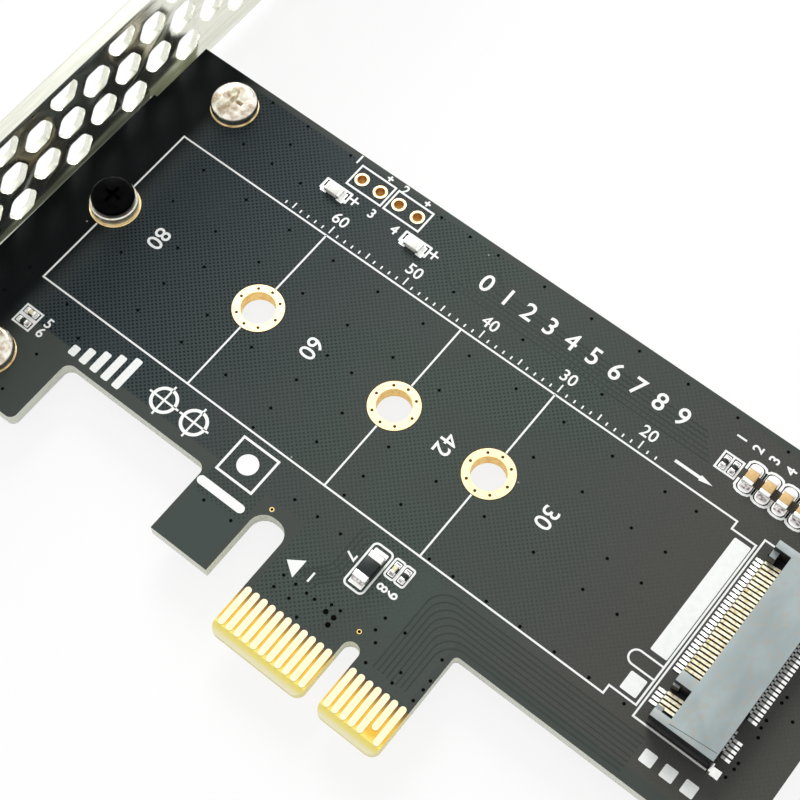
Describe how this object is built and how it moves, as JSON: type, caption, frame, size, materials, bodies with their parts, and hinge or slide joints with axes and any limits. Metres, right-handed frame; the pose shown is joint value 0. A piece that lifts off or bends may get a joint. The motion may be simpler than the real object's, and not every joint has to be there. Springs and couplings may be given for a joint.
{
  "type": "m.2 solid-state drive adapter card",
  "caption": "One-lane card-edge adapter board with an M.2 socket, standoff for a long module, plated module holes and a vented full-height bracket.",
  "frame": {"origin": "on the board's component face, on the centre line of the M.2 module, at the datum line that the 30, 42, 60 and 80 mm module lengths are measured from", "axes": "+X along the module towards the M.2 socket, +Y away from the edge fingers towards the bracket's ear, +Z out of the component face"},
  "size_m": [0.108, 0.12, 0.0199],
  "materials": {
    "black_moulding": "matt moulded",
    "black_screw": "black finish",
    "capacitor_ceramic": "matt fired ceramic",
    "gold_contact": "gold flash",
    "gold_plating": "bright gold plating",
    "lamp_resin": "clear-coated white",
    "nickel_fastener": "nickel plating",
    "nickel_steel": "bright nickel plating on sheet steel",
    "socket_plastic": "moulded, satin",
    "solder_mask_board": "satin black solder mask over glass-epoxy laminate",
    "tin_plating": "bright tin"
  },
  "bodies": {
    "root": {"activity_header": "gold_plating", "activity_lamp_body": "lamp_resin", "activity_lamp_ends": "tin_plating", "bracket": "nickel_steel", "bracket_screw_lower": "nickel_fastener", "bracket_screw_upper": "nickel_fastener", "circuit_board": "solder_mask_board", "corner_capacitor_body": "capacitor_ceramic", "corner_capacitor_ends": "tin_plating", "corner_resistor_body": "black_moulding", "corner_resistor_ends": "tin_plating", "coupling_capacitor_1_body": "capacitor_ceramic", "coupling_capacitor_1_ends": "tin_plating", "coupling_capacitor_2_body": "capacitor_ceramic", "coupling_capacitor_2_ends": "tin_plating", "coupling_capacitor_3_body": "capacitor_ceramic", "coupling_capacitor_3_ends": "tin_plating", "coupling_capacitor_4_body": "capacitor_ceramic", "coupling_capacitor_4_ends": "tin_plating", "edge_fingers_back": "gold_plating", "edge_fingers_front": "gold_plating", "module_hole_30": "gold_plating", "module_hole_42": "gold_plating", "module_hole_60": "gold_plating", "module_hole_80": "gold_plating", "module_screw": "black_screw", "module_standoff": "nickel_fastener", "pair_resistor_1_body": "black_moulding", "pair_resistor_1_ends": "tin_plating", "pair_resistor_2_body": "black_moulding", "pair_resistor_2_ends": "tin_plating", "power_header": "gold_plating", "power_lamp_body": "lamp_resin", "power_lamp_ends": "tin_plating", "resettable_fuse_body": "black_moulding", "resettable_fuse_ends": "tin_plating", "screw_pad_lower": "gold_plating", "screw_pad_upper": "gold_plating", "socket_contacts_front": "gold_contact", "socket_contacts_rear": "gold_contact", "socket_housing": "socket_plastic", "socket_nail_left": "tin_plating", "socket_nail_right": "tin_plating", "supply_capacitor_body": "capacitor_ceramic", "supply_capacitor_ends": "tin_plating", "supply_resistor_body": "black_moulding", "supply_resistor_ends": "tin_plating"}
  },
  "joints": []
}
